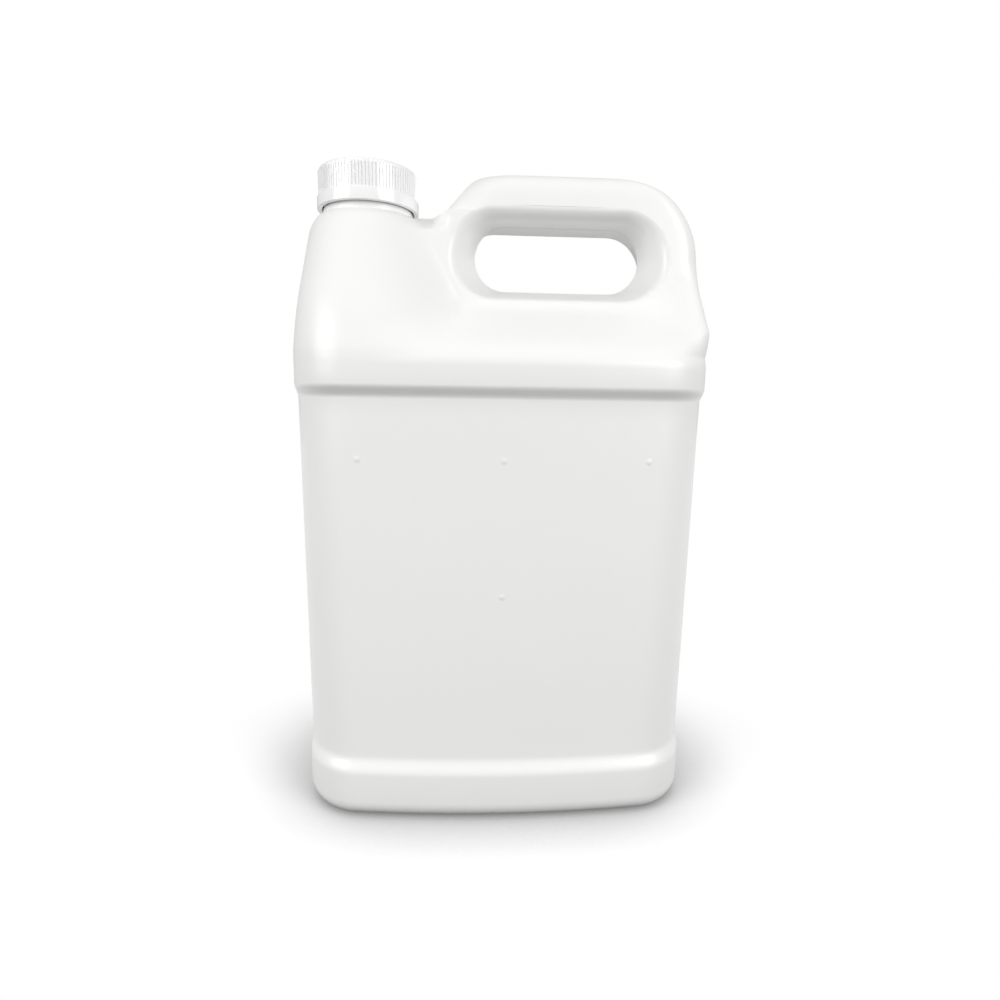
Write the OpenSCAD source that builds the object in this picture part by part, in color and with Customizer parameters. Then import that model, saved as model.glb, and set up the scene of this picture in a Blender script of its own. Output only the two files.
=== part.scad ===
// Oblong blow-moulded plastic jug of about four litres, with a moulded-in hollow
// grip and a screw cap. Millimetres. The origin is the middle of the base, +X
// runs from the neck to the grip, +Y is the back and +Z is up. The two halves
// of the mould meet in the plane y = 0.

/* [Jug plan] */
// Width across the shoulder bumper
body_w = 189; // [176:1:204]
// Depth across the middle of the shoulder bumper
body_d = 118; // [108:1:130]
// Width across the base bumper
base_w = 187; // [172:1:200]
// Depth across the middle of the base bumper
base_d = 110; // [102:1:122]
// Radius of the upright corners
corner_r = 26; // [18:1:32]
// Radius of the upright corners between the roof and the grip's end
hip_r = 10; // [7:1:16]
// How far the front bows out between its two ends
face_bow = 7; // [2:0.5:10]

/* [Jug heights] */
// Height of the base bumper
base_h = 23; // [16:1:32]
// Height of the ledge above the base bumper
ledge_h = 7; // [4:0.5:12]
// Height of the recessed label panel
panel_h = 166; // [120:1:200]
// Height of the undercut below the shoulder bumper
step_h = 6; // [4:0.5:10]
// Height of the shoulder bumper
shoulder_h = 14; // [10:1:22]
// Height of the sloping roof in front of the grip
roof_h = 22.5; // [16:0.5:30]
// Height of the neck's turret above the top of the roof
turret_h = 42.5; // [36:0.5:50]
// Height of the grip's top above the turret
grip_rise = 18.5; // [17:0.5:26]

/* [Jug surfaces] */
// Thickness of the moulded wall
wall = 1; // [0.8:0.1:2]
// How far the front of the panel lies behind the shoulder bumper
step_in = 4; // [2:0.5:6]
// How far the front of the panel lies behind the base bumper
ledge_in = 3; // [1.5:0.5:5]
// How far the panel lies inside both bumpers at its two ends
side_in = 0.6; // [0.2:0.2:2]
// Radius of the rounding round the foot
foot_r = 9; // [5:0.5:12]
// Height of the hollow in the middle of the base
push_h = 3; // [1:0.5:6]
// Width of the flat ring that the jug stands on
foot_land = 7; // [4:0.5:10]

/* [Neck] */
// Distance from the neck's axis to the end of the shoulder bumper
neck_inset = 30.5; // [28:0.5:34]
// Radius of the turret that carries the neck
turret_r = 26; // [25:0.5:27.5]
// Height of the rounding round the turret's rim
rim_h = 11; // [5:0.5:14]
// Width of the rounding round the turret's rim
rim_w = 7; // [4:0.5:8]
// Diameter of the mouth
mouth_d = 34.5; // [28:0.5:36]
// Outer diameter of the neck between the turns of its thread
neck_d = 39.6; // [39:0.1:40.4]
// Outer diameter of the collar at the foot of the neck
collar_d = 42; // [41:0.1:42.4]
// Height of the collar
collar_h = 3; // [2:0.25:4]
// Height of the neck above the turret
neck_h = 17.2; // [16:0.2:20]

/* [Grip] */
// Length of the finger hole
hole_l = 81; // [70:1:84]
// Height of the finger hole
hole_h = 29.5; // [24:0.5:31]
// Width of the leg between the hole and the end of the jug
leg_w = 26.5; // [24:0.5:32]
// Height of the hole above the top of the roof
sill_h = 11; // [9:0.5:12]
// Depth of the grip where it leaves the roof
root_d = 50; // [46:1:56]
// Depth of the grip under its top
grip_d = 40; // [36:1:44]
// How far the grip's faces bow out over the hole
grip_bow = 0.5; // [0.2:0.1:1]
// Height of the sloping saddle between the neck and the grip
saddle_h = 9; // [6:0.5:12]
// Radius of the grip's corner at the end of the jug
grip_corner_r = 36; // [28:1:40]
// Radius along the front and back of the grip's top
grip_edge_r = 11; // [7:0.5:13]
// How far the grip's inner end leans towards the hole
grip_lean = 16; // [12:0.5:20]
// How much the hole widens towards its inner end on each face
flare_in = 11; // [8:0.5:13]
// How much the hole widens towards its outer end on each face
flare_out = 7; // [5:0.5:8]

/* [Cap] */
// Height of the cap
cap_h = 18; // [15.5:0.5:22]
// Outer diameter of the ribbed part, over the ribs
rib_d = 46.4; // [45.4:0.1:47]
// Height of the ribs
rib_out = 0.5; // [0.3:0.05:0.7]
// Number of ribs
ribs = 96; // [60:2:120]
// Diameter of the smooth band at the cap's lower edge
band_d = 47.6; // [47.2:0.1:48.6]
// Height of the smooth band
band_h = 5.5; // [3:0.5:8]
// Thickness of the cap's top
cap_top = 1.6; // [1.2:0.1:2.2]
// Radius of the rounding round the cap's top
cap_edge_r = 1; // [0.6:0.1:1.4]
// Inner diameter of the cap, behind its thread
cap_bore = 42.8; // [42.6:0.1:43]
// Thickness of the sealing wad
liner_t = 1; // [0.6:0.1:1.6]
// Clearance between the wad, the cap and the lip of the neck
fit_gap = 0.2; // [0.1:0.05:0.3]

/* [Hidden] */
$fn = 96;

// Heights of the jug's lines above the table
ledge_z = base_h + ledge_h;
step_z = ledge_z + panel_h;
shoulder_z = step_z + step_h;
fold_z = shoulder_z + shoulder_h;
roof_z = fold_z + roof_h;
turret_z = roof_z + turret_h;
grip_z = turret_z + grip_rise;

// Places of the neck and the finger hole
neck_x = neck_inset - body_w / 2;
lip_z = turret_z + neck_h;
hole_right = body_w / 2 - leg_w;
hole_left = hole_right - hole_l;
sill_z = roof_z + sill_h;
lintel_z = sill_z + hole_h;

// The grip's inner end rises from the turret where the neck's foot leaves room
grip_back = 3;
grip_x = hole_left - (flare_in + grip_lean) / 2 - grip_back;
grip_end_r = 5;
end_l = 20;

// Points in a corner of a ring, along its front up to the rounding at the grip's inner
// end, and from there to the left corner
corner_n = 5;
grip_n = 7;
rest_n = 4;
// Width of the blend between the roof or the grip and the turret, and along the fold
blend = 12;
fold_blend = 5;
// How far the jug's end leans in between the fold and the grip's top
draft = 3;
// Smallest radius of a corner, and the largest share of the half depth that it takes
least_r = 1.5;
corner_share = 0.88;

// Straight and eased mixing, and a maximum and minimum with a rounded edge
function mix(a, b, t) = a + (b - a) * t;
function part(z, z0, z1) = max(0, min(1, (z - z0) / (z1 - z0)));
function ease(t) = t * t * (3 - 2 * t);
function round_max(a, b, k) = max(a, b) + pow(max(k - abs(a - b), 0), 2) / k / 4;
function round_min(a, b, k) = -round_max(-a, -b, k);
// Inset of a rounded edge of width w and height h that ends at the height top
function oval(z, top, w, h) = w * (1 - sqrt(max(0, 1 - pow(1 - part(top - z, 0, h), 2))));
function edge(z, top, r) = oval(z, top, r, r);

// Inset of the rounded foot
foot_steps = 3;
function foot(z) = edge(-z, 0, foot_r);

// Half the jug's width and half its depth, up to the fold above the shoulder bumper
function half_w(z) =
    z < ledge_z
    ? mix(base_w / 2, base_w / 2 - side_in, ease(part(z, base_h, ledge_z))) - foot(z)
    : z < step_z
    ? mix(base_w / 2 - side_in, body_w / 2 - side_in, part(z, ledge_z, step_z))
    : body_w / 2 - side_in * (1 - ease(part(z, step_z, shoulder_z)));
function half_d(z) =
    z < ledge_z
    ? mix(base_d / 2, base_d / 2 - ledge_in, ease(part(z, base_h, ledge_z))) - foot(z)
    : z < step_z
    ? mix(base_d / 2 - ledge_in, body_d / 2 - step_in, part(z, ledge_z, step_z))
    : body_d / 2 - step_in * (1 - ease(part(z, step_z, shoulder_z)));

// The two ends of the jug at a height
function rim(z) = oval(z, turret_z, rim_w, rim_h);
function right_x(z) =
    z < fold_z ? half_w(z)
    : body_w / 2 - draft * part(z, fold_z, grip_z) - edge(z, grip_z, grip_corner_r);
function left_x(z) =
    z < fold_z ? -half_w(z)
    : mix(-body_w / 2, neck_x - turret_r, part(z, fold_z, turret_z)) + rim(z);

// Half the depth of the cone that rises to the turret, round the neck's axis
function cone_r(z) =
    mix(body_d / 2, turret_r, part(z, fold_z, turret_z)) - rim(z);
function cone(x, z) =
    x < neck_x ? cone_r(z) : sqrt(max(0, pow(cone_r(z), 2) - pow(x - neck_x, 2)));

// Half the depth of the grip, which bows out a little over the hole. Between the
// grip and the turret it slopes up to the ridge of the saddle.
saddle_l = 8;
ridge_up = 1;
function saddle(x, z) =
    1 - (1 - part(z, turret_z + ridge_up, turret_z - saddle_h))
    * part(grip_x + saddle_l / 2 - x, 0, saddle_l);
function grip(x, z) =
    (mix(root_d, grip_d, part(z, roof_z, grip_z)) / 2 - edge(z, grip_z, grip_edge_r)
     - grip_bow * pow((x - (hole_left + hole_right) / 2) / hole_l * 2, 2))
    * saddle(x, z);

// Half the depth of the whole jug at a place x and a height z
function bow(x) = face_bow * pow(2 * x / body_w, 2);
function roof(x, z) =
    body_d / 2 - bow(x) * (1 - part(z, fold_z, roof_z))
    - (z - fold_z) * (body_d - root_d) / 2 / roof_h;
function upper(x, z) =
    round_max(round_max(roof(x, z), grip(x, z), fold_blend), cone(x, z), blend);
function half_depth(x, z) =
    z < shoulder_z
    ? half_d(z) - bow(x)
    : round_min(body_d / 2 - bow(x), upper(x, z), fold_blend);

// One half of a ring round the jug, from its right end along the front to its left
// end. The ring is drawn for the height z and lies d inside the outer surface.
function hip(z) = mix(corner_r, hip_r, part(z, fold_z, (fold_z + roof_z) / 2)) - foot(z);
function end_y(x, z, d, a, c) =
    let (h = half_depth(x, z) - d, r = min(max(c - d, least_r), corner_share * h))
    h - r + r * sin(a);
function half_ring(x0, rx0, x1, rx1, z, d, shares) = concat(
    [for (i = [0:corner_n])
        let (a = 90 * i / corner_n, x = x0 - rx0 + rx0 * cos(a))
        [x, -end_y(x, z, d, a, hip(z))]],
    [for (t = shares)
        let (x = mix(x0 - rx0, x1 + rx1, t))
        [x, d - half_depth(x, z)]],
    [for (i = [corner_n:-1:0])
        let (a = 90 * i / corner_n, x = x1 + rx1 - rx1 * cos(a))
        [x, -end_y(x, z, d, a, corner_r - foot(z))]]);
function whole(half, z) = concat(
    [for (p = half) [p.x, p.y, z]],
    [for (i = [len(half) - 1:-1:0]) [half[i].x, -half[i].y, z]]);

// Length along X of the rounding at the two ends of a ring
function right_r(z) = max(least_r, min(hip(z), half_depth(right_x(z) - hip_r, z)));
function left_r(z) = mix(corner_r, turret_r, part(z, fold_z, turret_z)) - foot(z) - rim(z);

// The grip's inner end, and where its rounding starts on the turret's last ring
function grip_left(z) =
    grip_x + grip_lean * part(z, turret_z, grip_z) + edge(z, grip_z, grip_end_r) / 2;
join_x = grip_left(turret_z) + end_l;
start_x = right_x(turret_z) - right_r(turret_z);
stop_x = left_x(turret_z) + left_r(turret_z);

// Shares of the way along the front at which a ring has its points. Beside the grip's
// inner end they stand where the rounding of its foot has them.
function shares(d) = [
    for (x = concat(
        [for (i = [1:grip_n]) mix(start_x, join_x, i / grip_n)],
        [for (i = [1:corner_n]) join_x - (end_l - d) * sin(90 * i / corner_n)],
        [for (i = [1:rest_n - 1]) mix(join_x - end_l + d, stop_x, i / rest_n)]))
        (x - start_x) / (stop_x - start_x)];

// Rings of the jug up to the turret, and of the grip's end above it
function body_ring(z, d) = half_ring(
    right_x(z) - d, max(right_r(z) - d, least_r),
    left_x(z) + d, max(left_r(z) - d, least_r), z, d, shares(d));
function grip_ring(z, d) = half_ring(
    right_x(z) - d, max(right_r(z) - d, least_r),
    grip_left(z) + d, end_l - d, z, d, [for (i = [1:grip_n - 1]) i / grip_n]);

// Heights of the rings. Close rings follow each rounding.
BODY_Z = concat(
    [for (i = [0:foot_steps]) foot_r * (1 - cos(90 * i / foot_steps))],
    [for (i = [0:3]) mix(base_h, ledge_z, i / 3)],
    [for (i = [0:3]) mix(step_z, shoulder_z, i / 3)],
    [for (i = [-1:2]) fold_z + i * fold_blend / 2],
    [for (i = [0:2]) mix(fold_z + 2 * fold_blend, roof_z, i / 2)],
    [for (i = [1:3]) mix(roof_z, turret_z - rim_h, i / 3)],
    [for (i = [1:4]) turret_z - rim_h * (1 - sin(90 * i / 4))]);
GRIP_Z = concat(
    [for (i = [1:2]) mix(turret_z, grip_z - grip_edge_r, i / 2)],
    [for (i = [1:5]) grip_z - grip_edge_r * (1 - sin(90 * i / 5))]);

// Height at which a ring of the inner surface lies, one wall away from the outer
function lift(z, d) = z + d * (1 - 2 * z / grip_z);

// Closed surface of the jug without its hole and neck, d inside the outer one
module blown(d) {
    hollow = [
        whole(body_ring(0, foot_land + push_h - d / 2), push_h + d),
        whole(body_ring(0, foot_land - d / 2), d)];
    body = [for (z = BODY_Z) whole(body_ring(z, d), lift(z, d))];
    foot_grip = whole(grip_ring(turret_z, d), lift(turret_z, d));
    top = [for (z = GRIP_Z) whole(grip_ring(z, d), lift(z, d))];
    rings = concat(hollow, body);
    n = len(body[0]);
    m = len(top[0]);
    last = (len(rings) - 1) * n;
    base = len(rings) * n;
    // The grip's lowest ring shares its points up to the one at kept with the turret's
    // last ring, and its inner end stands at the point called end
    kept = corner_n + grip_n;
    end = kept + corner_n;
    inner = [for (i = [kept + 1:m - kept - 2]) foot_grip[i]];
    above = base + len(inner);
    function low(i) =
        i <= kept ? last + i
        : i >= m - 1 - kept ? last + n - m + i
        : base + i - kept - 1;
    polyhedron(
        points = concat([for (r = rings) each r], inner, [for (r = top) each r]),
        faces = concat(
            [[for (i = [n - 1:-1:0]) i]],
            [for (j = [0:len(rings) - 2], i = [0:n - 1])
                let (k = (i + 1) % n, p = j * n)
                each [[p + i, p + k, p + n + k], [p + i, p + n + k, p + n + i]]],
            // The turret's flat top, in strips from front to back
            [for (i = [kept:end - 1])
                let (j = n - 1 - i, k = m - 1 - i)
                each [[last + i, last + i + 1, low(i + 1)],
                      [last + j - 1, last + j, low(k - 1)],
                      if (i > kept) each [[last + i, low(i + 1), low(i)],
                                          [low(k - 1), last + j, low(k)]]]],
            [[last + end, last + end + 1, low(end)],
             [low(end), last + end + 1, last + n - 2 - end, low(m - 1 - end)],
             [low(m - 1 - end), last + n - 2 - end, last + n - 1 - end]],
            [for (i = [end + 1:n / 2 - 2])
                [last + i, last + i + 1, last + n - 2 - i, last + n - 1 - i]],
            [for (i = [0:m - 1])
                let (k = (i + 1) % m)
                each [[low(i), low(k), above + k], [low(i), above + k, above + i]]],
            [for (j = [0:len(top) - 2], i = [0:m - 1])
                let (k = (i + 1) % m, p = above + j * m)
                each [[p + i, p + k, p + m + k], [p + i, p + m + k, p + m + i]]],
            [[for (i = [0:m - 1]) above + (len(top) - 1) * m + i]]));
}

// The finger hole is narrowest in the middle and widens towards both faces. The
// underside of the grip stays flat and turns up only at its edges.
hole_flat = 9;
hole_rise = 6;
hole_out = root_d / 2 + 3;
hole_n = 14;
hole_brow = grip_d / 2 + 1;
HOLE_Y = concat(
    [0], [for (i = [0:3]) mix(hole_flat, grip_d / 2, sin(30 * i))], [root_d / 2, hole_out]);
function flare(y) = abs(y) * 2 / root_d;
function turn_up(y) = oval(abs(y), hole_brow, hole_rise, hole_brow - hole_flat);
function hole_ring(y, d) =
    let (top = lintel_z + turn_up(y) + d,
         low = sill_z - sill_h * flare(y) - d,
         r = (top - low) / 2,
         xl = hole_left - flare_in * flare(y) - d,
         xr = hole_right + flare_out * flare(y) + d)
    concat(
        [for (i = [0:hole_n])
            let (a = -90 + 180 * i / hole_n)
            [xr - r + r * cos(a), y, low + r + r * sin(a)]],
        [for (i = [0:hole_n])
            let (a = 90 + 180 * i / hole_n)
            [xl + r + r * cos(a), y, low + r + r * sin(a)]]);
module finger_hole(d) {
    ys = concat([for (i = [len(HOLE_Y) - 1:-1:1]) -HOLE_Y[i]], HOLE_Y);
    rings = [for (y = ys) hole_ring(y, d)];
    n = len(rings[0]);
    polyhedron(
        points = [for (r = rings) each r],
        faces = concat(
            [[for (i = [n - 1:-1:0]) i]],
            [for (j = [0:len(rings) - 2], i = [0:n - 1])
                let (k = (i + 1) % n, p = j * n)
                each [[p + i, p + k, p + n + k], [p + i, p + n + k, p + n + i]]],
            [[for (i = [0:n - 1]) (len(rings) - 1) * n + i]]));
}

// Neck with its collar and chamfered lip, as a solid plug that the mouth is bored in
lip_r = 0.8;
neck_foot = 0.8 * wall;
module neck() {
    translate([neck_x, 0, 0])
        rotate_extrude()
            polygon([
                [0, turret_z - neck_foot],
                [collar_d / 2, turret_z - neck_foot],
                [collar_d / 2, turret_z + collar_h - lip_r],
                [collar_d / 2 - lip_r, turret_z + collar_h],
                [neck_d / 2, turret_z + collar_h],
                [neck_d / 2, lip_z - lip_r],
                [neck_d / 2 - lip_r, lip_z],
                [0, lip_z]]);
}

module mouth() {
    depth = 3 * wall;
    translate([neck_x, 0, turret_z - depth])
        cylinder(d = mouth_d, h = neck_h + depth + 1);
}

module jug_body() {
    color([0.95, 0.95, 0.94])
        difference() {
            union() {
                difference() {
                    blown(0);
                    finger_hole(0);
                }
                neck();
            }
            union() {
                difference() {
                    blown(wall);
                    finger_hole(wall);
                }
                mouth();
            }
        }
}

// The cap hangs from the wad, which sits on the lip
cap_under = lip_z + liner_t + 2 * fit_gap;
cap_z = cap_under + cap_top;
band_z = cap_z - cap_h;
// Chamfers of the cap's band, depth of the ribs' roots in the wall, steps of the top's
// rounding, and how far the ribs end below it
band_edge = 0.4;
rib_sink = 0.1;
round_n = 5;
rib_end = 0.3;

module cap() {
    rib_root = rib_d / 2 - rib_out;
    color([0.96, 0.96, 0.96])
        translate([neck_x, 0, 0])
            difference() {
                union() {
                    rotate_extrude()
                        polygon(concat(
                            [[0, band_z],
                             [band_d / 2 - band_edge, band_z],
                             [band_d / 2, band_z + band_edge],
                             [band_d / 2, band_z + band_h - band_edge],
                             [band_d / 2 - band_edge, band_z + band_h],
                             [rib_root, band_z + band_h]],
                            [for (i = [0:round_n])
                                let (a = 90 * i / round_n)
                                [rib_root - cap_edge_r * (1 - cos(a)),
                                 cap_z - cap_edge_r * (1 - sin(a))]],
                            [[0, cap_z]]));
                    translate([0, 0, band_z + band_h / 2])
                        linear_extrude(cap_h - band_h / 2 - cap_edge_r - rib_end)
                            polygon([for (i = [0:ribs - 1], s = [-1, 1, 3, 5])
                                let (r = s < 2 ? rib_d / 2 : rib_root - rib_sink,
                                     a = 360 * (i + s / 8) / ribs)
                                r * [cos(a), sin(a)]]);
                }
                translate([0, 0, band_z - 1])
                    cylinder(d = cap_bore, h = cap_under - band_z + 1);
            }
}

module cap_liner() {
    color([0.85, 0.86, 0.88])
        translate([neck_x, 0, lip_z + fit_gap])
            cylinder(d = cap_bore - 2 * fit_gap, h = liner_t);
}

jug_body();
cap();
cap_liner();
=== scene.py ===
"""A white blow-moulded plastic jug with a grip moulded in beside its neck, and a screw
cap. The file follows the jug as it is put together: the blown shell with its finger
hole and neck, the sealing wad, the cap, and then the studio.
"""
import math

import bmesh
import bpy
import numpy as np
from mathutils import Matrix


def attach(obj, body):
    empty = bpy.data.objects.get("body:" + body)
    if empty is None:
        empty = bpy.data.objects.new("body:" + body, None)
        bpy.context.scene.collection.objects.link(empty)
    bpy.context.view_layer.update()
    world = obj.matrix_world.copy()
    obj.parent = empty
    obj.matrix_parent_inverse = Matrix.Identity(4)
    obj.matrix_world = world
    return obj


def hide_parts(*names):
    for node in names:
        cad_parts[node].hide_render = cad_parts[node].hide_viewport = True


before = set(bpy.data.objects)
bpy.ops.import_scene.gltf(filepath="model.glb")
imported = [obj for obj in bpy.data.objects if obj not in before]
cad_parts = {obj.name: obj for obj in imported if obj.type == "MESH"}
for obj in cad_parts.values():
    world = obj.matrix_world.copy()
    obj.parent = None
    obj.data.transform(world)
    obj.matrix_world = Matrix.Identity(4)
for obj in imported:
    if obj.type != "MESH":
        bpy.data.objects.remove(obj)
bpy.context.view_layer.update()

# The shell, neck and grip are one piece of white polyethylene: a hot tube blown out
# against a mould of two halves, which meet in the plane y = 0 and pinch the finger
# hole through the grip. Sizes are in millimetres.
MM = 0.001
WALL = 1.0
BASE_W, BASE_D = 186.6, 110.0
BODY_W, BODY_D = 188.6, 117.96
CORNER_R, HIP_R, FOOT_R = 26.0, 10.0, 9.0
FACE_BOW = 7.0
BASE_Z, LEDGE_Z, STEP_Z, SHOULDER_Z, FOLD_Z = 23.0, 30.0, 196.0, 202.0, 216.0
ROOF_Z, TURRET_Z, GRIP_Z = 238.5, 281.0, 299.5
STEP_IN, LEDGE_IN, SIDE_IN = 4.0, 3.0, 0.6
PUSH_H, FOOT_LAND = 3.0, 7.0
NECK_X, TURRET_R, RIM_H, RIM_W = -64.0, 26.0, 11.0, 7.0
ROOT_D, GRIP_D, GRIP_BOW = 50.0, 40.0, 0.5
GRIP_CORNER_R, GRIP_EDGE_R, GRIP_END_R = 36.0, 11.0, 5.0
GRIP_LEAN, GRIP_BACK, END_L, DRAFT = 16.0, 3.0, 20.0, 3.0
SADDLE_H, SADDLE_L, RIDGE_UP = 9.0, 8.0, 1.0
ROOF_BLEND, FOLD_BLEND, EDGE_BLEND, HIP_BLEND = 12.0, 5.0, 9.0, 38.0
HOLE_LEFT, HOLE_RIGHT, SILL_Z, LINTEL_Z = -13.0, 68.0, 248.6, 279.0
SILL_H, FLARE_IN, FLARE_OUT = 7.0, 11.0, 7.0
EDGE_RISE, EDGE_RISE_UP, EDGE_SPAN, EDGE_SPAN_UP = 3.2, 1.3, 4.0, 5.0
PAST_FACE, HOLE_REACH = 0.06, 48.0
LEAST_R, CORNER_SHARE = 1.5, 0.88
GRIP_X = HOLE_LEFT - (FLARE_IN + GRIP_LEAN) / 2 - GRIP_BACK


def mix(a, b, t):
    """The value a share t of the way from a to b."""
    return a + (b - a) * t


def part(z, z0, z1):
    """How far z is on its way from z0 to z1, as a share held between 0 and 1."""
    return np.clip((z - z0) / (z1 - z0), 0, 1)


def ease(t):
    """A share that starts and ends gently: three t squared less two t cubed."""
    return t * t * (3 - 2 * t)


def round_max(a, b, k):
    """The larger of a and b, raised by the square of how far they are within k of
    each other, over 4 k, which rounds the crease between them."""
    return np.maximum(a, b) + np.maximum(k - np.abs(a - b), 0) ** 2 / k / 4


def oval(z, top, w, h):
    """Inset of a quarter ellipse of width w and height h whose upper end is at top."""
    return w * (1 - np.sqrt(np.maximum(0, 1 - (1 - part(top - z, 0, h)) ** 2)))


def foot(z):
    """Inset of the rounded foot: a quarter circle at the bottom."""
    return oval(-z, 0, FOOT_R, FOOT_R)


def side_profile(z, base, body, lower, upper):
    """Half a width of the jug up to the fold: the base, an eased ledge inwards, a
    straight panel, and an eased step out to the shoulder."""
    low = mix(base / 2, base / 2 - lower, ease(part(z, BASE_Z, LEDGE_Z))) - foot(z)
    panel = mix(base / 2 - lower, body / 2 - upper, part(z, LEDGE_Z, STEP_Z))
    high = body / 2 - upper * (1 - ease(part(z, STEP_Z, SHOULDER_Z)))
    return np.where(z < LEDGE_Z, low, np.where(z < STEP_Z, panel, high))


def rim(z):
    """Inset of the rounding round the turret's top."""
    return oval(z, TURRET_Z, RIM_W, RIM_H)


def right_x(z):
    """Where the jug ends at the right: its half width, and above the fold a leaning
    line with the grip's big round corner."""
    above = BODY_W / 2 - DRAFT * part(z, FOLD_Z, GRIP_Z)
    above = above - oval(z, GRIP_Z, GRIP_CORNER_R, GRIP_CORNER_R)
    return np.where(z < FOLD_Z, side_profile(z, BASE_W, BODY_W, SIDE_IN, SIDE_IN), above)


def left_x(z):
    """Where the jug ends at the left: its half width, then a line to the turret."""
    above = mix(-BODY_W / 2, NECK_X - TURRET_R, part(z, FOLD_Z, TURRET_Z)) + rim(z)
    return np.where(z < FOLD_Z, -side_profile(z, BASE_W, BODY_W, SIDE_IN, SIDE_IN), above)


def grip(x, z):
    """Half depth of the grip: a straight taper with a rounded top edge, bowed a
    little, and brought down to the saddle's ridge beside the turret."""
    half = mix(ROOT_D, GRIP_D, part(z, ROOF_Z, GRIP_Z)) / 2
    middle, reach = (HOLE_LEFT + HOLE_RIGHT) / 2, (HOLE_RIGHT - HOLE_LEFT) / 2
    half = half - oval(z, GRIP_Z, GRIP_EDGE_R, GRIP_EDGE_R)
    half = half - GRIP_BOW * ((x - middle) / reach) ** 2
    low = 1 - part(z, TURRET_Z + RIDGE_UP, TURRET_Z - SADDLE_H)
    return half * (1 - low * part(GRIP_X + SADDLE_L / 2 - x, 0, SADDLE_L))


def half_depth(x, z):
    """Half depth of the jug at x and z. Up to the shoulder it is the side profile
    less a parabola across the front. Above, a roof that slopes in, the grip, and a
    cone round the neck's axis melt into each other."""
    bow = FACE_BOW * (2 * x / BODY_W) ** 2
    below = side_profile(z, BASE_D, BODY_D, LEDGE_IN, STEP_IN) - bow
    slope = (z - FOLD_Z) * (BODY_D - ROOT_D) / 2 / (ROOF_Z - FOLD_Z)
    roof = BODY_D / 2 - bow * (1 - part(z, FOLD_Z, ROOF_Z)) - slope
    r = mix(BODY_D / 2, TURRET_R, part(z, FOLD_Z, TURRET_Z)) - rim(z)
    cone = np.where(x < NECK_X, r, np.sqrt(np.maximum(0, r**2 - (x - NECK_X) ** 2)))
    hip_blend = mix(FOLD_BLEND, HIP_BLEND, ease(part(x, HOLE_RIGHT, BODY_W / 2)))
    upper = round_max(round_max(roof, grip(x, z), hip_blend), cone, ROOF_BLEND)
    above = -round_max(bow - BODY_D / 2, -upper, EDGE_BLEND)
    return np.where(z < SHOULDER_Z, below, above)


def right_corner(z):
    """Radius of the right corners, which tighten over the roof."""
    return mix(CORNER_R, HIP_R, part(z, FOLD_Z, (FOLD_Z + ROOF_Z) / 2)) - foot(z)


def right_r(z):
    """Length along X of the rounding at the jug's right end."""
    near_end = half_depth(right_x(z) - HIP_R, z)
    return np.maximum(LEAST_R, np.minimum(right_corner(z), near_end))


def left_r(z):
    """Length along X of the rounding at the jug's left end."""
    return mix(CORNER_R, TURRET_R, part(z, FOLD_Z, TURRET_Z)) - foot(z) - rim(z)


def grip_left(z):
    """The grip's inner end, which leans towards the hole and rounds off at its top."""
    lean = GRIP_LEAN * part(z, TURRET_Z, GRIP_Z)
    return GRIP_X + lean + oval(z, GRIP_Z, GRIP_END_R, GRIP_END_R) / 2


CORNER_N, GRIP_N, REST_N, SLOT_N, EDGE_N = 14, 44, 18, 49, 15
FLATS = np.array([0.8, 0.6, 0.4, 0.2])
SEAM_Y, SEAM_UP = np.array([0.5, 0.2, 0.0]), 0.18
OTHER_WAY = [0, 3, 2, 1]


def end_points(x, y, outward, inwards):
    """Points across half of a flat end, with half of the raised seam where the two
    halves of the mould meet. They run to the seam, or away from it if inwards."""
    x, y = x[:, None], y[:, None]
    seam = SEAM_Y * np.minimum(1, y)
    flat = seam[:, :1] + (y - seam[:, :1]) * FLATS
    across = np.hstack([flat, seam])
    up = np.r_[np.zeros(len(FLATS) + 1), SEAM_UP, SEAM_UP] * outward
    rows = np.stack([x + up, -across], axis=2)
    return rows[:, ::-1] if inwards else rows


def corner_points(x, rx, z, d, radius, a):
    """Points round a corner at the angles a: along X they go by cosine, and their
    depth is the half depth less the radius, and that radius times the sine."""
    z = z[:, None]
    across = x[:, None] + rx[:, None] * (1 - np.cos(a))
    h = half_depth(across, z) - d
    r = np.minimum(np.maximum(radius(z) - d, LEAST_R), CORNER_SHARE * h)
    return np.stack([across, -(h - r + r * np.sin(a))], axis=2)


def half_rings(z, d, x0, rx0, x1, rx1, shares):
    """Front halves of rings at the heights z, from the seam at the right end to the
    one at the left: flat end, corner, front at the given shares, corner, flat end."""
    a = np.radians(np.linspace(0, 90, CORNER_N + 1))
    right = corner_points(x0, -rx0, z, d, right_corner, a)
    x = mix((x0 - rx0)[:, None], (x1 + rx1)[:, None], shares)
    front = np.stack([x, d - half_depth(x, z[:, None])], axis=2)
    left = corner_points(x1, rx1, z, d, lambda q: CORNER_R - foot(q), a[::-1])
    return np.concatenate([
        end_points(right[:, 0, 0], -right[:, 0, 1], 1, True), right, front, left,
        end_points(left[:, -1, 0], -left[:, -1, 1], -1, False)], axis=1)


def ring_quads(n_rows, n):
    """Point numbers of the quads between each ring of n points and the next."""
    r, c = np.meshgrid(np.arange(n_rows - 1), np.arange(n), indexing="ij")
    k = (c + 1) % n
    return np.stack([r * n + c, (r + 1) * n + c, (r + 1) * n + k, r * n + k], axis=-1)


def at_height(half, z):
    """Half rings with their heights added as the third coordinate."""
    z = np.asarray(z, float).reshape(-1, 1, 1)
    return np.concatenate([half, np.broadcast_to(z, half.shape[:2] + (1,))], axis=2)


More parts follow.
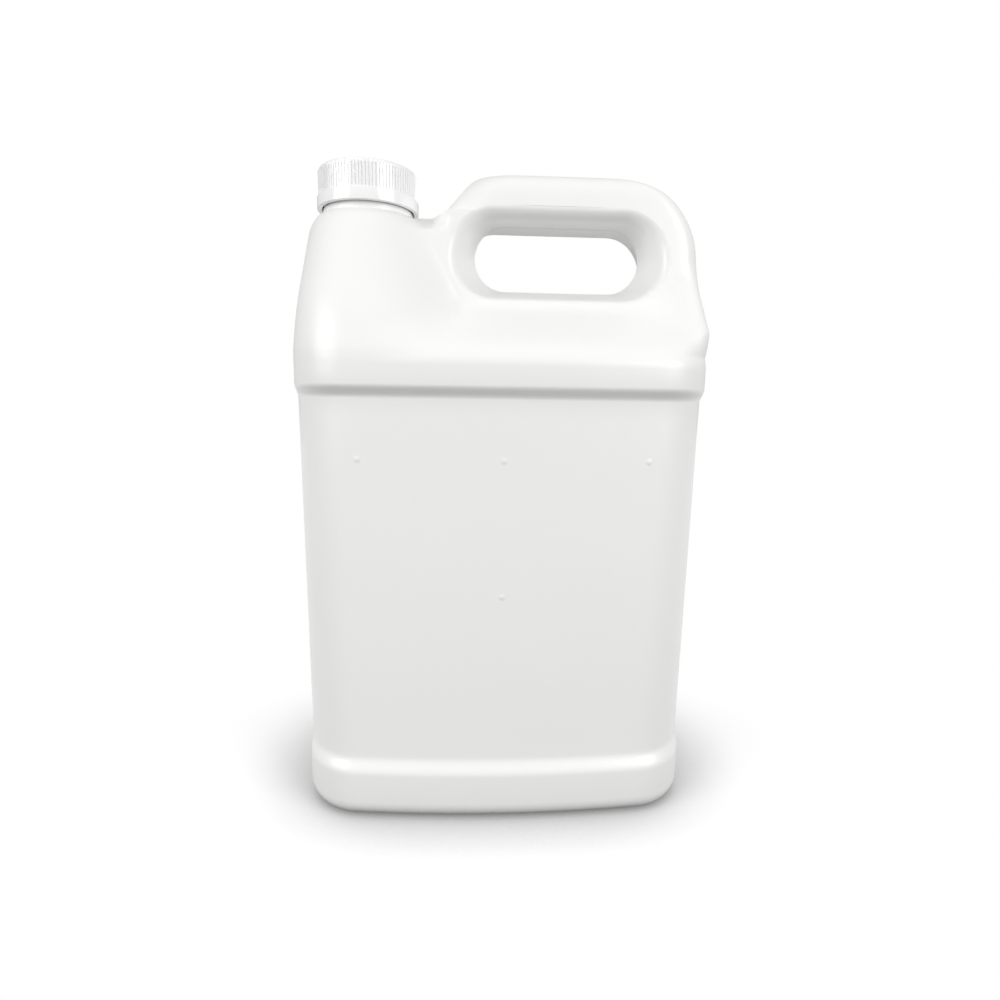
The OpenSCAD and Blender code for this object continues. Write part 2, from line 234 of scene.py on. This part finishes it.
def closing(half, z, shares, up):
    """Rows that draw a ring in to the seam's line, which stands up a little."""
    rows = [at_height(half * [1, share], z) for share in shares]
    for y in SEAM_Y:
        drawn = np.stack([half[..., 0], np.maximum(half[..., 1], -y)], axis=2)
        rows.append(at_height(drawn, z + (up if y < SEAM_Y[0] else 0.0)))
    return rows


def jug_surface(d):
    """Closed surface of the jug without hole and neck, d inside the outer one, as
    points and quads. Rings are stacked from the hollow under the base to the
    turret's flat top, and only their grip ends go on to the top of the grip."""
    join_x = float(grip_left(TURRET_Z)) + END_L
    start_x = float(right_x(TURRET_Z) - right_r(TURRET_Z))
    stop_x = float(left_x(TURRET_Z) + left_r(TURRET_Z))
    ends = np.arange(1, CORNER_N + 1) / CORNER_N
    body_x = np.r_[
        mix(start_x, join_x, np.arange(1, GRIP_N + 1) / GRIP_N),
        join_x - (END_L - d) * np.sin(np.pi / 2 * ends),
        mix(join_x - END_L + d, stop_x, np.arange(1, REST_N) / REST_N)]
    body_shares = (body_x - start_x) / (stop_x - start_x)
    grip_shares = np.arange(1, GRIP_N) / GRIP_N

    def body_rings(z, d):
        """Rings of the whole jug, each end moved in by d, and its rounding less d."""
        return half_rings(
            z, d, right_x(z) - d, np.maximum(right_r(z) - d, LEAST_R),
            left_x(z) + d, np.maximum(left_r(z) - d, LEAST_R), body_shares)

    def lift(z):
        """A height moved in by d: up by d at the foot, down by d at the grip's top, and
        in proportion between them."""
        return z + d * (1 - 2 * z / GRIP_Z)

    quarter = np.linspace(0, np.pi / 2, 9)
    body_z = np.unique(np.round(np.r_[
        FOOT_R * (1 - np.cos(quarter)), np.linspace(BASE_Z - 2, LEDGE_Z + 2, 12),
        np.linspace(LEDGE_Z, STEP_Z, 22), np.linspace(STEP_Z, SHOULDER_Z, 10),
        np.linspace(FOLD_Z - 8, FOLD_Z + 8, 17), np.linspace(FOLD_Z + 8, ROOF_Z + 6, 15),
        np.linspace(ROOF_Z + 6, TURRET_Z - RIM_H, 15),
        TURRET_Z - RIM_H * (1 - np.sin(quarter))], 6))
    grip_z = np.r_[
        np.linspace(TURRET_Z, GRIP_Z - GRIP_EDGE_R, 6)[1:-1],
        GRIP_Z - GRIP_EDGE_R * (1 - np.sin(np.linspace(0, np.pi / 2, 13)))]
    foot_z = np.zeros(1)
    hollow = body_rings(foot_z, FOOT_LAND + PUSH_H - d / 2)
    rows = closing(hollow, PUSH_H + d, [0.85, 0.6, 0.35, 0.15], -0.6)[::-1]
    rows += [at_height(hollow, PUSH_H + d)]
    for slope in (2.25, 1.5, 0.75, 0.0):
        ring = body_rings(foot_z, FOOT_LAND - d / 2 + slope)
        rows += [at_height(ring, d + PUSH_H * ease(slope / PUSH_H))]
    rows += [at_height(body_rings(body_z, d), lift(body_z))]
    low = np.concatenate(rows)

    def grip_rings(z):
        """Rings of the grip alone, each end moved in by d, and its rounding less d."""
        return half_rings(
            z, d, right_x(z) - d, np.maximum(right_r(z) - d, LEAST_R),
            grip_left(z) + d, np.full(z.shape, END_L - d), grip_shares)

    base_ring = grip_rings(np.array([TURRET_Z]))
    used, whole = base_ring.shape[1], low.shape[1]
    zipped = low[-1:, :].copy()
    zipped[:, :used, :2] = base_ring
    zipped[:, used:, 1] = 0
    tall = grip_rings(grip_z)
    top = [at_height(tall, lift(grip_z))]
    top += closing(tall[-1:], float(lift(GRIP_Z)), [0.7, 0.4, 0.2], SEAM_UP)
    top = np.concatenate(top)
    top = np.concatenate([top, np.repeat(top[:, -1:], whole - used, axis=1)], axis=1)
    half = np.concatenate([low, zipped, top])
    points = np.concatenate([half, (half * [1, -1, 1])[:, -2:0:-1]], axis=1)

    n_rows, n = points.shape[:2]
    r, c = np.meshgrid(np.arange(n_rows - 1), np.arange(n), indexing="ij")
    shown = (r < len(low)) | (c < used - 1) | (c >= n - used + 1)
    return points.reshape(-1, 3), ring_quads(n_rows, n)[shown]


def hole_surface(d):
    """Closed surface of the finger hole, d outside it, which the shell is cut with.
    Its rings are rounded slots that widen in proportion to the distance from the
    seam. At the jug's faces they flare by a quarter ellipse, so the edge is round."""
    a = np.radians(np.r_[np.linspace(-90, 90, SLOT_N), np.linspace(90, 270, SLOT_N)])
    right = np.arange(len(a)) < SLOT_N
    out, up = np.cos(a), np.sin(a)
    rise = EDGE_RISE + EDGE_RISE_UP * up
    span = EDGE_SPAN + EDGE_SPAN_UP * np.maximum(0, up) ** 2

    def slot(y, extra):
        """Outline of the hole at y: two half circles of half its height, whose ends and
        sill move out in proportion to y, with extra added to their radius."""
        flare = y * 2 / ROOT_D
        top, low = LINTEL_Z + d, SILL_Z - SILL_H * flare - d
        r = (top - low) / 2
        x = np.where(right, HOLE_RIGHT + FLARE_OUT * flare + d - r,
                     HOLE_LEFT - FLARE_IN * flare - d + r)
        return x + (r + extra) * out, low + r + (r + extra) * up

    end = np.full(a.shape, ROOT_D / 2)
    for _ in range(8):
        end = (end + half_depth(*slot(end, rise)) - d + PAST_FACE) / 2
    turn = np.radians(np.linspace(0, 90, EDGE_N))[:, None]
    level = np.array([0.0, 0.2, 0.5, 2.0, 4.0, 6.0, 8.0])[:, None]
    straight = np.minimum(level, (end - span) * np.minimum(level * 1.1 / 9, 0.98))
    last = np.full((1, len(a)), HOLE_REACH)
    ys = np.vstack([straight, end - span * (1 - np.sin(turn)), last])
    extra = np.vstack([np.zeros(straight.shape), rise * (1 - np.cos(turn)), rise[None]])
    extra[:2] -= SEAM_UP
    x, z = slot(ys, extra)
    front = np.stack([x, -ys, z], axis=2)
    points = np.concatenate([front[::-1], (front * [1, -1, 1])[1:]])
    n_rows, n = points.shape[:2]
    caps = [np.arange(n)[::-1], np.arange(n) + (n_rows - 1) * n]
    return points.reshape(-1, 3), ring_quads(n_rows, n)[..., OTHER_WAY], caps


def make_piece(name, points, quads, caps=()):
    """A mesh object from points in millimetres and faces, with its doubles merged
    and its faces pointing outwards."""
    mesh = bpy.data.meshes.new(name)
    faces = quads.reshape(-1, 4).tolist() + [cap.tolist() for cap in caps]
    mesh.from_pydata((points * MM).tolist(), [], faces)
    mesh.validate()
    bm = bmesh.new()
    bm.from_mesh(mesh)
    bmesh.ops.remove_doubles(bm, verts=bm.verts, dist=2e-7)
    bmesh.ops.dissolve_degenerate(bm, edges=bm.edges, dist=1e-7)
    bmesh.ops.recalc_face_normals(bm, faces=bm.faces)
    bm.to_mesh(mesh)
    bm.free()
    piece = bpy.data.objects.new(name, mesh)
    bpy.context.scene.collection.objects.link(piece)
    return piece


def cut(piece, tool, operation):
    """Joins a tool to a piece, or cuts it away, and removes the tool."""
    change = piece.modifiers.new("cut", "BOOLEAN")
    change.operation, change.solver, change.object = operation, "EXACT", tool
    bpy.context.view_layer.objects.active = piece
    bpy.ops.object.modifier_apply(modifier=change.name)
    bpy.data.objects.remove(tool)


# Sizes of the neck: a collar at its foot, one and a half turns of a right-handed
# thread, and a rounded lip. VENTS are the pips that the mould's air vents leave.
NECK_D, COLLAR_D, COLLAR_H, LIP_Z = 39.6, 42.0, 3.0, 298.2
MOUTH_D, LIP_R = 34.5, 0.8
PITCH, THREAD_H, THREAD_TURNS, THREAD_FOOT, THREAD_TOP = 4.233, 1.2, 1.5, 1.15, 0.45
THREAD_Z = TURRET_Z + COLLAR_H + 3.2
VENTS = [(-63, 170), (0, 170), (64, 170), (0, 109)]
VENT_R, VENT_UP = 1.9, 0.3


def turned(name, r, z, n):
    """A closed surface turned round the neck's axis. Each row of r and z is the
    radius and the height at n angles, and a row of radius 0 closes an end."""
    a = np.linspace(0, 2 * np.pi, n, endpoint=False)
    r, z = np.broadcast_arrays(r + 0 * a, z + 0 * a)
    points = np.stack([NECK_X + r * np.cos(a), r * np.sin(a), z], axis=2)
    return make_piece(name, points.reshape(-1, 3), ring_quads(len(r), n)[..., OTHER_WAY])


def thread(a, z, start, turns, half_foot, half_top):
    """A screw thread's ridge at the angle a and height z, as a share of its height:
    an eased trapezoid round a helix that climbs one pitch a turn, which fades in and
    out over a twelfth of a turn."""
    ridge = np.zeros(np.broadcast_shapes(np.shape(a), np.shape(z)))
    for lap in range(-1, math.ceil(turns) + 1):
        turn = a / (2 * np.pi) + lap
        shape = ease(part(np.abs(z - start - PITCH * turn), half_foot, half_top))
        fade = ease(part(turn, 0, 1 / 12)) * ease(part(turn, turns, turns - 1 / 12))
        ridge = np.maximum(ridge, shape * fade)
    return ridge


def neck_surface():
    """The neck as a plug: a collar, a wall with the thread on it, and a lip that is
    rounded by a quarter circle."""
    n = 216
    a = np.linspace(0, 2 * np.pi, n, endpoint=False)
    turn = np.linspace(0, np.pi / 2, 6)
    wall_z = np.linspace(TURRET_Z + COLLAR_H, LIP_Z - LIP_R, 56)[:, None]
    ridge = thread(a, wall_z, THREAD_Z, THREAD_TURNS, THREAD_FOOT, THREAD_TOP)
    wall_r = NECK_D / 2 + THREAD_H * ridge
    collar_top = TURRET_Z + COLLAR_H - LIP_R * (1 - np.sin(turn))
    foot_z = TURRET_Z - 0.8 * WALL
    r = [0, COLLAR_D / 2, *(COLLAR_D / 2 - LIP_R * (1 - np.cos(turn)))]
    z = [foot_z, foot_z, *collar_top]
    lip_r = [*(NECK_D / 2 - LIP_R * (1 - np.cos(turn))), 0]
    lip_z = [*(LIP_Z - LIP_R * (1 - np.sin(turn))), LIP_Z]
    ones = np.ones((1, n))
    rows_r = np.vstack([np.array(r)[:, None] * ones, wall_r, np.array(lip_r)[:, None] * ones])
    rows_z = np.vstack([np.array(z)[:, None] * ones, wall_z * ones,
                        np.array(lip_z)[:, None] * ones])
    return turned("neck", rows_r, rows_z, n)


def mouth_surface():
    """The bore of the mouth, which widens by a quarter circle at the lip."""
    turn = np.linspace(0, np.pi / 2, 5)
    r = np.r_[0, MOUTH_D / 2, MOUTH_D / 2 + LIP_R * (1 - np.cos(turn)), MOUTH_D / 2 + LIP_R, 0]
    z = np.r_[TURRET_Z - 3 * WALL, TURRET_Z - 3 * WALL, LIP_Z - LIP_R * (1 - np.sin(turn)),
              LIP_Z + 1, LIP_Z + 1]
    return turned("mouth", r[:, None], z[:, None], 144)


jug = make_piece("jug_shell", *jug_surface(0.0))
cut(jug, make_piece("hole", *hole_surface(0.0)), "DIFFERENCE")
cut(jug, neck_surface(), "UNION")
hollow = make_piece("hollow", *jug_surface(WALL))
cut(hollow, make_piece("hole", *hole_surface(WALL)), "DIFFERENCE")
cut(hollow, mouth_surface(), "UNION")
cut(jug, hollow, "DIFFERENCE")


def moulded_skin():
    """A node group for a moulded plastic's skin: a colour that drifts a little over
    the piece, an uneven gloss, and the fine grain of the mould's surface."""
    group = bpy.data.node_groups.new("moulded_skin", "ShaderNodeTree")
    face = group.interface
    for label, kind, value in (
            ("Colour", "NodeSocketColor", (0.9, 0.9, 0.9, 1)),
            ("Shade", "NodeSocketColor", (0.85, 0.85, 0.85, 1)),
            ("Gloss", "NodeSocketFloat", 0.35), ("Dull", "NodeSocketFloat", 0.5),
            ("Grain size", "NodeSocketFloat", 900.0),
            ("Grain depth", "NodeSocketFloat", 0.00004)):
        face.new_socket(label, in_out="INPUT", socket_type=kind).default_value = value
    for label, kind in (("Colour", "NodeSocketColor"), ("Roughness", "NodeSocketFloat"),
                        ("Normal", "NodeSocketVector")):
        face.new_socket(label, in_out="OUTPUT", socket_type=kind)
    nodes, links = group.nodes, group.links
    given, made = nodes.new("NodeGroupInput"), nodes.new("NodeGroupOutput")
    place = nodes.new("ShaderNodeTexCoord").outputs["Object"]
    drift, patches, grain = (nodes.new("ShaderNodeTexNoise") for _ in range(3))
    drift.inputs["Scale"].default_value, drift.inputs["Detail"].default_value = 11, 2
    patches.inputs["Scale"].default_value, patches.inputs["Detail"].default_value = 70, 4
    grain.inputs["Detail"].default_value = 3
    links.new(given.outputs["Grain size"], grain.inputs["Scale"])
    for noise in (drift, patches, grain):
        links.new(place, noise.inputs["Vector"])
    tint = nodes.new("ShaderNodeMix")
    tint.data_type = "RGBA"
    links.new(drift.outputs["Fac"], tint.inputs["Factor"])
    links.new(given.outputs["Colour"], tint.inputs["A"])
    links.new(given.outputs["Shade"], tint.inputs["B"])
    links.new(tint.outputs["Result"], made.inputs["Colour"])
    gloss = nodes.new("ShaderNodeMapRange")
    gloss.inputs["From Min"].default_value, gloss.inputs["From Max"].default_value = 0.3, 0.7
    links.new(patches.outputs["Fac"], gloss.inputs["Value"])
    links.new(given.outputs["Gloss"], gloss.inputs["To Min"])
    links.new(given.outputs["Dull"], gloss.inputs["To Max"])
    links.new(gloss.outputs["Result"], made.inputs["Roughness"])
    bump = nodes.new("ShaderNodeBump")
    links.new(grain.outputs["Fac"], bump.inputs["Height"])
    links.new(given.outputs["Grain depth"], bump.inputs["Distance"])
    links.new(bump.outputs["Normal"], made.inputs["Normal"])
    return group


SKIN = moulded_skin()


def plastic(name, colour, shade, gloss, dull, grain_size, grain_depth, ior=1.5):
    """A material of moulded plastic, whose skin comes from the node group."""
    material = bpy.data.materials.new(name)
    material.use_nodes = True
    nodes, links = material.node_tree.nodes, material.node_tree.links
    shader = nodes["Principled BSDF"]
    shader.inputs["IOR"].default_value = ior
    skin = nodes.new("ShaderNodeGroup")
    skin.node_tree = SKIN
    skin.inputs["Colour"].default_value = (*colour, 1)
    skin.inputs["Shade"].default_value = (*shade, 1)
    skin.inputs["Gloss"].default_value = gloss
    skin.inputs["Dull"].default_value = dull
    skin.inputs["Grain size"].default_value = grain_size
    skin.inputs["Grain depth"].default_value = grain_depth
    links.new(skin.outputs["Colour"], shader.inputs["Base Color"])
    links.new(skin.outputs["Roughness"], shader.inputs["Roughness"])
    links.new(skin.outputs["Normal"], shader.inputs["Normal"])
    return material


def dress(piece, material, crease):
    """Gives a piece its material and smooth shading, with edges sharper than the
    crease angle in degrees left as edges."""
    piece.data.materials.clear()
    piece.data.materials.append(material)
    piece.data.polygons.foreach_set("material_index", np.zeros(len(piece.data.polygons), int))
    piece.data.shade_smooth()
    piece.data.set_sharp_from_angle(angle=math.radians(crease))


def add_vents(material):
    """Raises a low round pip on the skin at each vent of both panels: an eased slope
    of the distance in X and Z from the nearest vent's middle."""
    nodes, links = material.node_tree.nodes, material.node_tree.links
    flat = nodes.new("ShaderNodeVectorMath")
    flat.operation, flat.inputs[1].default_value = "MULTIPLY", (1, 0, 1)
    links.new(nodes.new("ShaderNodeTexCoord").outputs["Object"], flat.inputs[0])
    nearest = None
    for x, z in VENTS:
        away = nodes.new("ShaderNodeVectorMath")
        away.operation, away.inputs[1].default_value = "DISTANCE", (x * MM, 0, z * MM)
        links.new(flat.outputs["Vector"], away.inputs[0])
        value = away.outputs["Value"]
        if nearest is not None:
            less = nodes.new("ShaderNodeMath")
            less.operation = "MINIMUM"
            links.new(nearest, less.inputs[0])
            links.new(value, less.inputs[1])
            value = less.outputs["Value"]
        nearest = value
    pip = nodes.new("ShaderNodeMapRange")
    pip.interpolation_type = "SMOOTHSTEP"
    pip.inputs["From Max"].default_value = VENT_R * MM
    pip.inputs["To Min"].default_value, pip.inputs["To Max"].default_value = 1, 0
    links.new(nearest, pip.inputs["Value"])
    relief, shader = nodes.new("ShaderNodeBump"), nodes["Principled BSDF"]
    relief.inputs["Distance"].default_value = VENT_UP * MM
    links.new(pip.outputs["Result"], relief.inputs["Height"])
    links.new(shader.inputs["Normal"].links[0].from_socket, relief.inputs["Normal"])
    links.new(relief.outputs["Normal"], shader.inputs["Normal"])


polyethylene = plastic("white_polyethylene", (0.88, 0.88, 0.87), (0.855, 0.857, 0.845),
                       0.28, 0.38, 1100, 0.00003)
add_vents(polyethylene)
dress(jug, polyethylene, 34)
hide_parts("jug_body")
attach(jug, "jug")

# The sealing wad. A disc of expanded foam is punched from sheet and pressed into the
# cap's top. Screwing the cap down has pressed the lip's ring into it.
FIT_GAP, WAD_T, CAP_BORE = 0.2, 1.0, 42.8
WAD_Z, WAD_R, WAD_EDGE, DENT = LIP_Z + FIT_GAP, CAP_BORE / 2 - FIT_GAP, 0.15, 0.1


def wad_surface():
    """A disc with eased edges, whose underside is dented round the lip by a raised
    cosine across the lip's width."""
    r = np.linspace(0, WAD_R - WAD_EDGE, 45)
    lip_middle, lip_half = (MOUTH_D + NECK_D) / 4, (NECK_D - MOUTH_D) / 4
    dent = DENT * 0.5 * (1 + np.cos(np.pi * np.minimum(np.abs(r - lip_middle) / lip_half, 1)))
    turn = np.linspace(0, np.pi, 7)[1:-1]
    radii = np.r_[r, WAD_R - WAD_EDGE + WAD_EDGE * np.sin(turn), r[::-1]]
    sides = WAD_Z + WAD_T / 2 - (WAD_T / 2) * np.cos(turn)
    heights = np.r_[WAD_Z + dent, sides, np.full(len(r), WAD_Z + WAD_T)]
    return turned("sealing_wad", radii[:, None], heights[:, None], 160)


wad = wad_surface()
dress(wad, plastic("white_foam", (0.82, 0.83, 0.84), (0.78, 0.79, 0.8), 0.7, 0.85,
                   1600, 0.00012), 40)
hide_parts("cap_liner")
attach(wad, "wad")

# The cap. It is moulded in polypropylene, harder and glossier than the jug. Fine
# ribs for the fingers stand on its wall, a smooth band runs round its lower edge,
# and a thread inside it runs in the neck's.
CAP_Z, CAP_H, CAP_TOP, CAP_EDGE = LIP_Z + 2 * FIT_GAP + WAD_T + 1.6, 17.8, 1.6, 1.0
RIB_D, RIB_OUT, RIBS, RIB_START = 46.4, 0.5, 96, 0.1
BAND_D, BAND_H, BAND_EDGE = 47.6, 5.4, 0.4
CAP_THREAD_H, CAP_THREAD_TURNS, CAP_THREAD_FOOT, CAP_THREAD_TOP = 1.1, 1.6, 0.8, 0.3
PANEL_R, PANEL_IN, PANEL_SLOPE, GATE_R, GATE_UP = 18.5, 0.25, 0.3, 0.9, 0.15
RIB_FLANK, RIB_FADE = 0.85, 0.8


def cap_surface():
    """The cap as one profile turned round the axis: the top with a shallow step, a
    rounded edge, the ribbed wall, the band, and back up the bore with its thread. A
    rib is an eased cosine round the wall."""
    n = RIBS * 6
    a = np.linspace(0, 2 * np.pi, n, endpoint=False)
    turn = np.linspace(0, np.pi / 2, 7)
    band_z, root = CAP_Z - CAP_H, RIB_D / 2 - RIB_OUT
    rib = ease(np.clip(0.5 + RIB_FLANK * np.cos(RIBS * a), 0, 1))
    panel_z = CAP_Z - PANEL_IN
    top_r = [0, GATE_R, GATE_R + 0.2, PANEL_R - PANEL_SLOPE, PANEL_R, root - CAP_EDGE]
    top_z = [panel_z + GATE_UP, panel_z + GATE_UP, panel_z, panel_z, CAP_Z, CAP_Z]
    edge_r = root - CAP_EDGE + CAP_EDGE * np.sin(turn[1:])
    edge_z = CAP_Z - CAP_EDGE + CAP_EDGE * np.cos(turn[1:])
    rib_top, rib_foot = CAP_Z - CAP_EDGE + RIB_START, band_z + BAND_H
    rib_z = np.r_[rib_top - np.linspace(0, RIB_FADE, 5),
                  np.linspace(rib_top - 1.5, rib_foot, 6)]
    fade = ease(part(rib_z, rib_top, rib_top - RIB_FADE))
    rib_r = root + RIB_OUT * fade[:, None] * rib
    round_r, round_z = BAND_EDGE * np.sin(turn), BAND_EDGE * np.cos(turn)
    out_r = BAND_D / 2 - BAND_EDGE + np.r_[round_r, round_r[::-1]]
    out_z = np.r_[rib_foot - BAND_EDGE + round_z, band_z + BAND_EDGE - round_z[::-1]]
    bore, under = CAP_BORE / 2, CAP_Z - CAP_TOP
    in_z = np.linspace(band_z + 0.5, under - 0.5, 60)
    ridge = thread(a, in_z[:, None], THREAD_Z - PITCH / 2, CAP_THREAD_TURNS,
                   CAP_THREAD_FOOT, CAP_THREAD_TOP)
    in_r = bore - CAP_THREAD_H * ridge
    last_r, last_z = [bore, bore - 0.5, 0], [under - 0.2, under, under]
    ones = np.ones((1, n))

    def even(values):
        """Rows that hold one value all the way round."""
        return np.asarray(values, float)[:, None] * ones

    r = np.vstack([even(top_r), even(edge_r), rib_r, even(out_r), even([bore + 0.4]),
                   in_r, even(last_r)])
    z = np.vstack([even(top_z), even(edge_z), even(rib_z), even(out_z), even([band_z]),
                   even(in_z), even(last_z)])
    return turned("screw_cap", r, z, n)


cap = cap_surface()
dress(cap, plastic("white_polypropylene", (0.94, 0.94, 0.94), (0.925, 0.925, 0.925), 0.1, 0.16,
                   1500, 0.000012, 1.7), 38)
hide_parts("cap")
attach(cap, "screw_cap")

# The studio. A plain pale floor that goes off to white, a large soft box on each side
# in front of the jug, and the camera where the photograph was taken. Sizes are metres.
FLOOR_R, FLOOR_RINGS, FLOOR_SIDES = 4.0, 30, 96
DULL, TOP_UP, PAINT = (0.18, 0.18, 0.18, 1), (0.19, 0.19, 0.19, 1), (0.95, 0.95, 0.95, 1)
# The reach is how far from the jug the painted contact shadow on the floor spreads.
WHITE, PAINTED_SHADOW_REACH = (1, 1, 1, 1), 0.05
FADE_FROM, FADE_TO, FADE_STRETCH = 0.1, 0.18, 1.4
WORLD_LEVEL, BOX_AIM, BOX_SIZE = 0.48, (0, 0, 0.16), (0.7, 0.75)
LEFT_BOX, LEFT_POWER = (-0.915, -0.64, 0.6), 8.0
RIGHT_BOX, RIGHT_POWER = (0.815, -0.76, 0.6), 8.2


def floor_surface(name, radius):
    """A round sheet: rings of points at radii that grow by the square of their share."""
    r = radius * np.linspace(0, 1, FLOOR_RINGS)[:, None] ** 2
    a = np.linspace(0, 2 * np.pi, FLOOR_SIDES, endpoint=False)
    x, y = r * np.cos(a), r * np.sin(a)
    points = np.stack([x, y, np.zeros(x.shape)], axis=2).reshape(-1, 3)
    piece = make_piece(name, points / MM, ring_quads(FLOOR_RINGS, FLOOR_SIDES))
    if piece.data.polygons[0].normal.z < 0:
        piece.data.flip_normals()
    return piece


def floor_material():
    """White paint under the lamps, whose colour an ambient occlusion node darkens near the
    jug:
    a painted contact shadow, added to the lamps' own shadow. The camera, and gloss
    and glass, see it topped up to white, and with the distance from the jug a plain
    white takes over, so that no horizon shows. Other rays meet a duller paint."""
    material = bpy.data.materials.new("floor_white")
    material.use_nodes = True
    nodes, links = material.node_tree.nodes, material.node_tree.links
    nodes.clear()
    end = nodes.new("ShaderNodeOutputMaterial")
    dull, paint = nodes.new("ShaderNodeBsdfDiffuse"), nodes.new("ShaderNodeBsdfDiffuse")
    top_up, glow = nodes.new("ShaderNodeEmission"), nodes.new("ShaderNodeEmission")
    dull.inputs["Color"].default_value = DULL
    top_up.inputs["Color"].default_value = TOP_UP
    glow.inputs["Color"].default_value = WHITE
    # Painted contact shadow: an ambient occlusion node darkens the paint's colour within a few
    # centimetres of the jug.
    painted_contact_shadow = nodes.new("ShaderNodeAmbientOcclusion")
    painted_contact_shadow.inputs["Color"].default_value = PAINT
    painted_contact_shadow.inputs["Distance"].default_value, painted_contact_shadow.samples = PAINTED_SHADOW_REACH, 3
    links.new(painted_contact_shadow.outputs["Color"], paint.inputs["Color"])
    near = nodes.new("ShaderNodeAddShader")
    links.new(paint.outputs["BSDF"], near.inputs[0])
    links.new(top_up.outputs["Emission"], near.inputs[1])
    place = nodes.new("ShaderNodeTexCoord")
    oblong, spread = nodes.new("ShaderNodeVectorMath"), nodes.new("ShaderNodeVectorMath")
    oblong.operation, spread.operation = "MULTIPLY", "LENGTH"
    oblong.inputs[1].default_value = (1, FADE_STRETCH, 1)
    links.new(place.outputs["Object"], oblong.inputs[0])
    links.new(oblong.outputs["Vector"], spread.inputs[0])
    far = nodes.new("ShaderNodeMapRange")
    far.interpolation_type = "SMOOTHSTEP"
    far.inputs["From Min"].default_value = FADE_FROM
    far.inputs["From Max"].default_value = FADE_TO
    links.new(spread.outputs["Value"], far.inputs["Value"])
    seen = nodes.new("ShaderNodeMixShader")
    links.new(far.outputs["Result"], seen.inputs["Fac"])
    links.new(near.outputs["Shader"], seen.inputs[1])
    links.new(glow.outputs["Emission"], seen.inputs[2])
    rays = nodes.new("ShaderNodeLightPath")
    shiny, direct = nodes.new("ShaderNodeMath"), nodes.new("ShaderNodeMath")
    shiny.operation = direct.operation = "MAXIMUM"
    links.new(rays.outputs["Is Glossy Ray"], shiny.inputs[0])
    links.new(rays.outputs["Is Transmission Ray"], shiny.inputs[1])
    links.new(rays.outputs["Is Camera Ray"], direct.inputs[0])
    links.new(shiny.outputs["Value"], direct.inputs[1])
    blend = nodes.new("ShaderNodeMixShader")
    links.new(direct.outputs["Value"], blend.inputs["Fac"])
    links.new(dull.outputs["BSDF"], blend.inputs[1])
    links.new(seen.outputs["Shader"], blend.inputs[2])
    links.new(blend.outputs["Shader"], end.inputs["Surface"])
    return material


floor = floor_surface("floor", FLOOR_R)
floor.data.materials.append(floor_material())

world = bpy.data.worlds.new("studio")
bpy.context.scene.world = world
world.use_nodes = True
world_nodes, world_links = world.node_tree.nodes, world.node_tree.links
background = world_nodes["Background"]
background.inputs["Color"].default_value = WHITE
world_rays = world_nodes.new("ShaderNodeLightPath")
world_level = world_nodes.new("ShaderNodeMapRange")
world_level.inputs["To Min"].default_value = WORLD_LEVEL
world_links.new(world_rays.outputs["Is Camera Ray"], world_level.inputs["Value"])
world_links.new(world_level.outputs["Result"], background.inputs["Strength"])


def soft_light(name, place, aim, size, power):
    """An oblong area light at a place, turned to face another place."""
    data = bpy.data.lights.new(name, "AREA")
    data.shape, data.size, data.size_y, data.energy = "RECTANGLE", size[0], size[1], power
    lamp = bpy.data.objects.new(name, data)
    bpy.context.scene.collection.objects.link(lamp)
    way = np.array(aim, float) - np.array(place, float)
    lamp.location = place
    tip = math.atan2(math.hypot(way[0], way[1]), -way[2])
    lamp.rotation_euler = (tip, 0, math.atan2(way[1], way[0]) - math.pi / 2)


soft_light("left_box", LEFT_BOX, BOX_AIM, BOX_SIZE, LEFT_POWER)
soft_light("right_box", RIGHT_BOX, BOX_AIM, BOX_SIZE, RIGHT_POWER)

CAMERA_PLACE = (-0.0157, -0.3207, 0.1957)
YAW, PITCH_DOWN, ROLL = -0.053, -0.158, 0.015
SENSOR, FOCAL_SHARE = 36.0, 0.62346


def camera_turn(yaw, pitch, roll):
    """The camera's axes as columns: right, up and back. It looks along +Y turned by
    the yaw, tipped by the pitch, and rolled round its own line of sight."""
    right = np.array([math.cos(yaw), math.sin(yaw), 0])
    ahead = np.array([-math.sin(yaw) * math.cos(pitch), math.cos(yaw) * math.cos(pitch),
                      math.sin(pitch)])
    up = np.cross(right, ahead)
    c, s = math.cos(roll), math.sin(roll)
    return np.stack([c * right + s * up, c * up - s * right, -ahead], axis=1)


camera = bpy.data.objects.new("camera", bpy.data.cameras.new("camera"))
camera.data.sensor_width = SENSOR
camera.data.lens = FOCAL_SHARE * SENSOR
camera.data.clip_start = 0.01
bpy.context.scene.collection.objects.link(camera)
stand = np.eye(4)
stand[:3, :3] = camera_turn(YAW, PITCH_DOWN, ROLL)
stand[:3, 3] = CAMERA_PLACE
camera.matrix_world = Matrix(stand.tolist())
bpy.context.scene.camera = camera
bpy.context.scene.view_settings.view_transform = "Standard"
